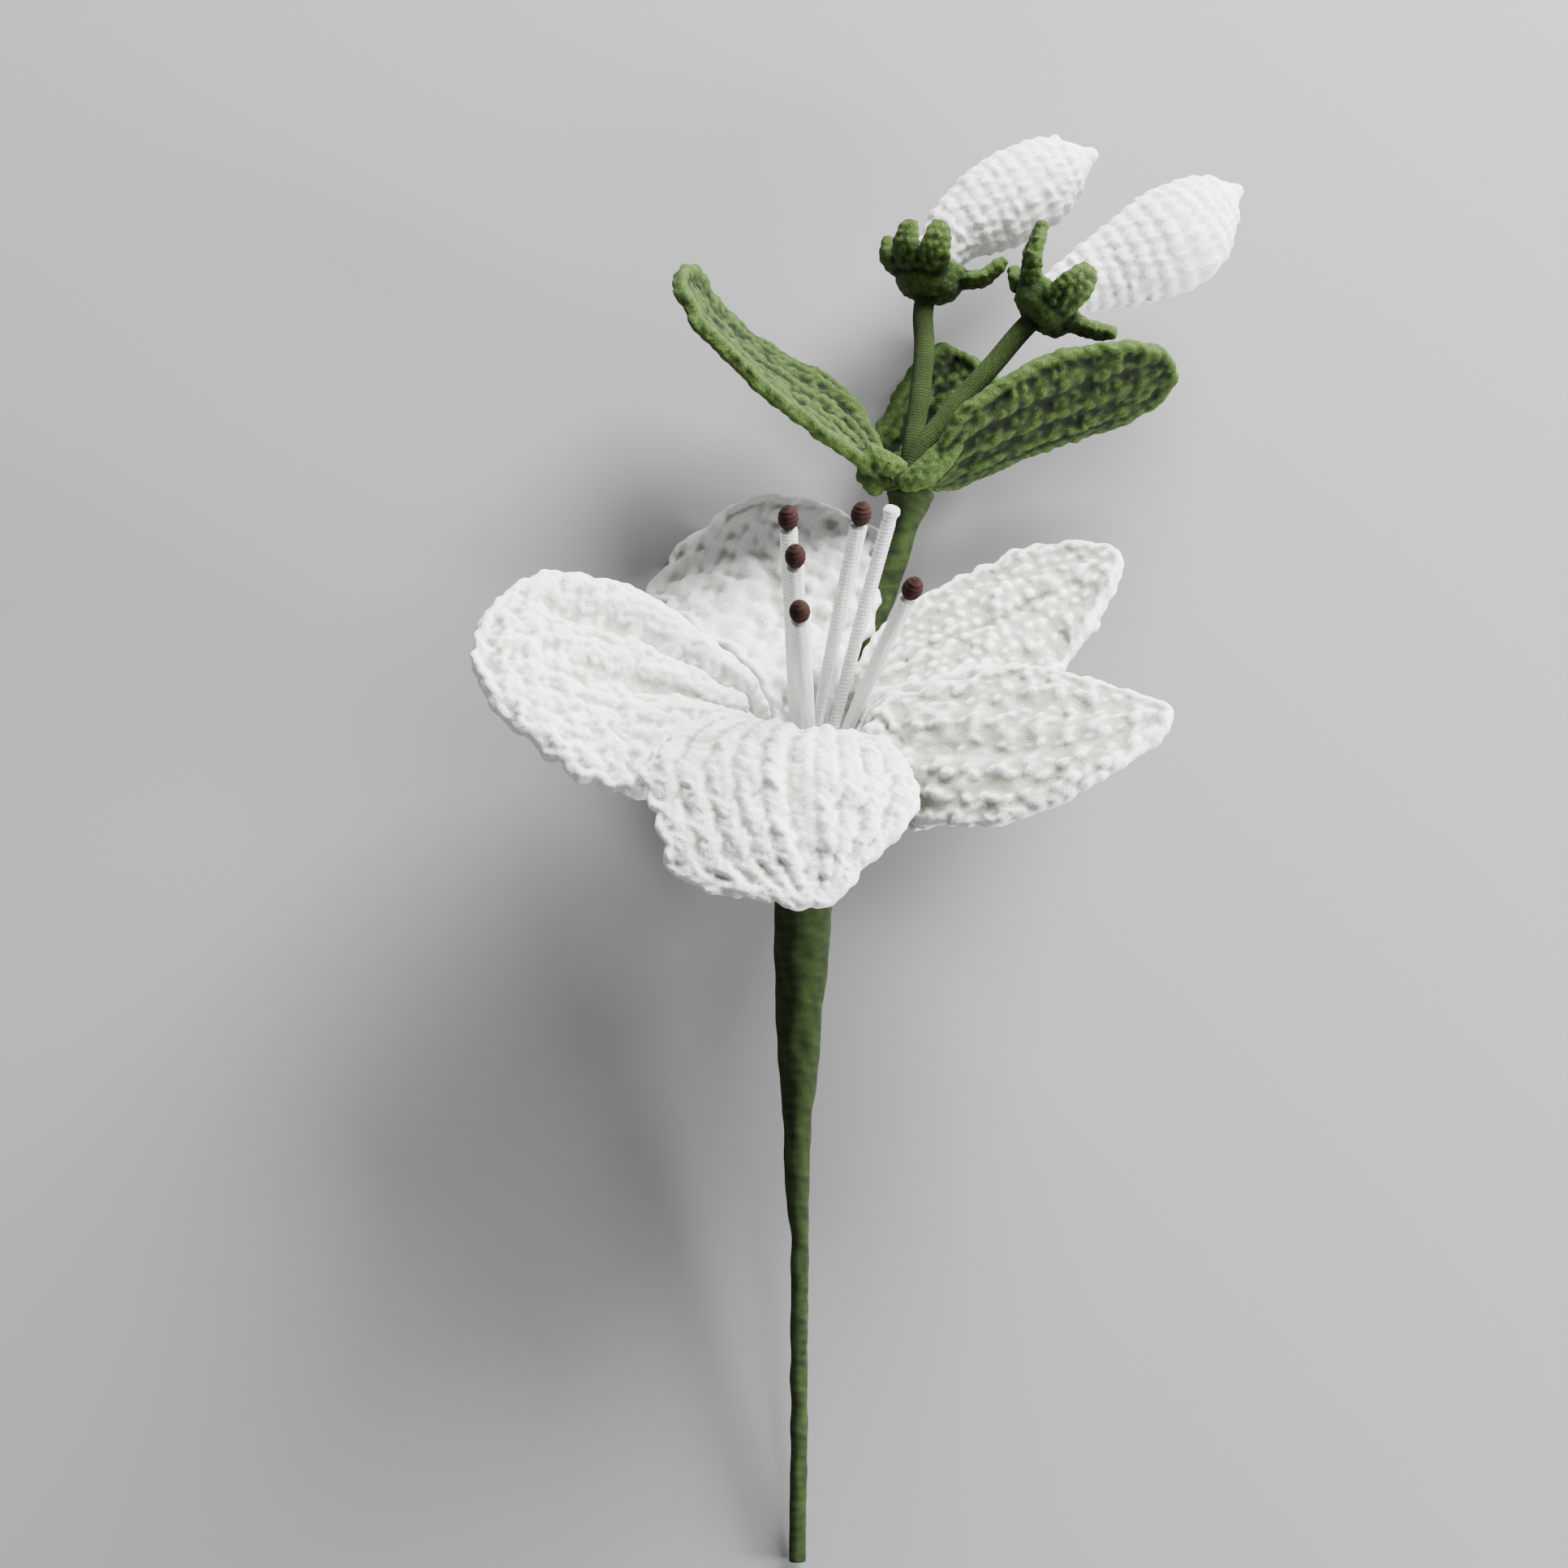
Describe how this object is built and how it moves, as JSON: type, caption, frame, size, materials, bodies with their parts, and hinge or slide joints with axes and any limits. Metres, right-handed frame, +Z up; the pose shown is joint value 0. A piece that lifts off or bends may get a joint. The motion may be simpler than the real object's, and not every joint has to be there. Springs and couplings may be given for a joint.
{
  "type": "crocheted azalea spray",
  "caption": "Lying azalea spray crocheted from yarn: an open white bloom with dark-tipped stamens on a tape-wound stem, closed buds in green calyces and long green leaves.",
  "frame": {"origin": "centre of the bounding box's base, on the surface that the spray lies on", "axes": "+Y along the stem from its cut foot to the buds, +Z up out of the surface, towards the side that the bloom faces, +X to the right of the spray seen from above"},
  "size_m": [0.1552, 0.2968, 0.0885],
  "materials": {
    "white_yarn": "matte white cotton yarn, crocheted or wound",
    "green_tape": "matte dark green tape and thread, wound on wire",
    "green_yarn": "matte leaf-green yarn, crocheted",
    "brown_thread": "dark red-brown thread, wound, with a faint sheen",
    "florist_wire": "drawn steel wire",
    "fibre_filling": "loose white fibre"
  },
  "bodies": {
    "root": {"stem_wrap": "green_tape", "stem_wire": "florist_wire", "branch_wrap": "green_tape", "branch_wire": "florist_wire", "bud_stem_left": "green_tape", "bud_wire_left": "florist_wire", "bud_stem_right": "green_tape", "bud_wire_right": "florist_wire", "petal_front": "white_yarn", "petal_left": "white_yarn", "petal_back": "white_yarn", "petal_right_upper": "white_yarn", "petal_right_lower": "white_yarn", "filament_1": "white_yarn", "filament_2": "white_yarn", "filament_3": "white_yarn", "filament_4": "white_yarn", "filament_5": "white_yarn", "pistil": "white_yarn", "filament_wire_1": "florist_wire", "filament_wire_2": "florist_wire", "filament_wire_3": "florist_wire", "filament_wire_4": "florist_wire", "filament_wire_5": "florist_wire", "pistil_wire": "florist_wire", "anther_1": "brown_thread", "anther_2": "brown_thread", "anther_3": "brown_thread", "anther_4": "brown_thread", "anther_5": "brown_thread", "leaf_left": "green_yarn", "leaf_right": "green_yarn", "leaf_back": "green_yarn", "calyx_left": "green_yarn", "calyx_right": "green_yarn", "bud_left": "white_yarn", "bud_right": "white_yarn", "bud_filling_left": "fibre_filling", "bud_filling_right": "fibre_filling"}
  },
  "joints": []
}
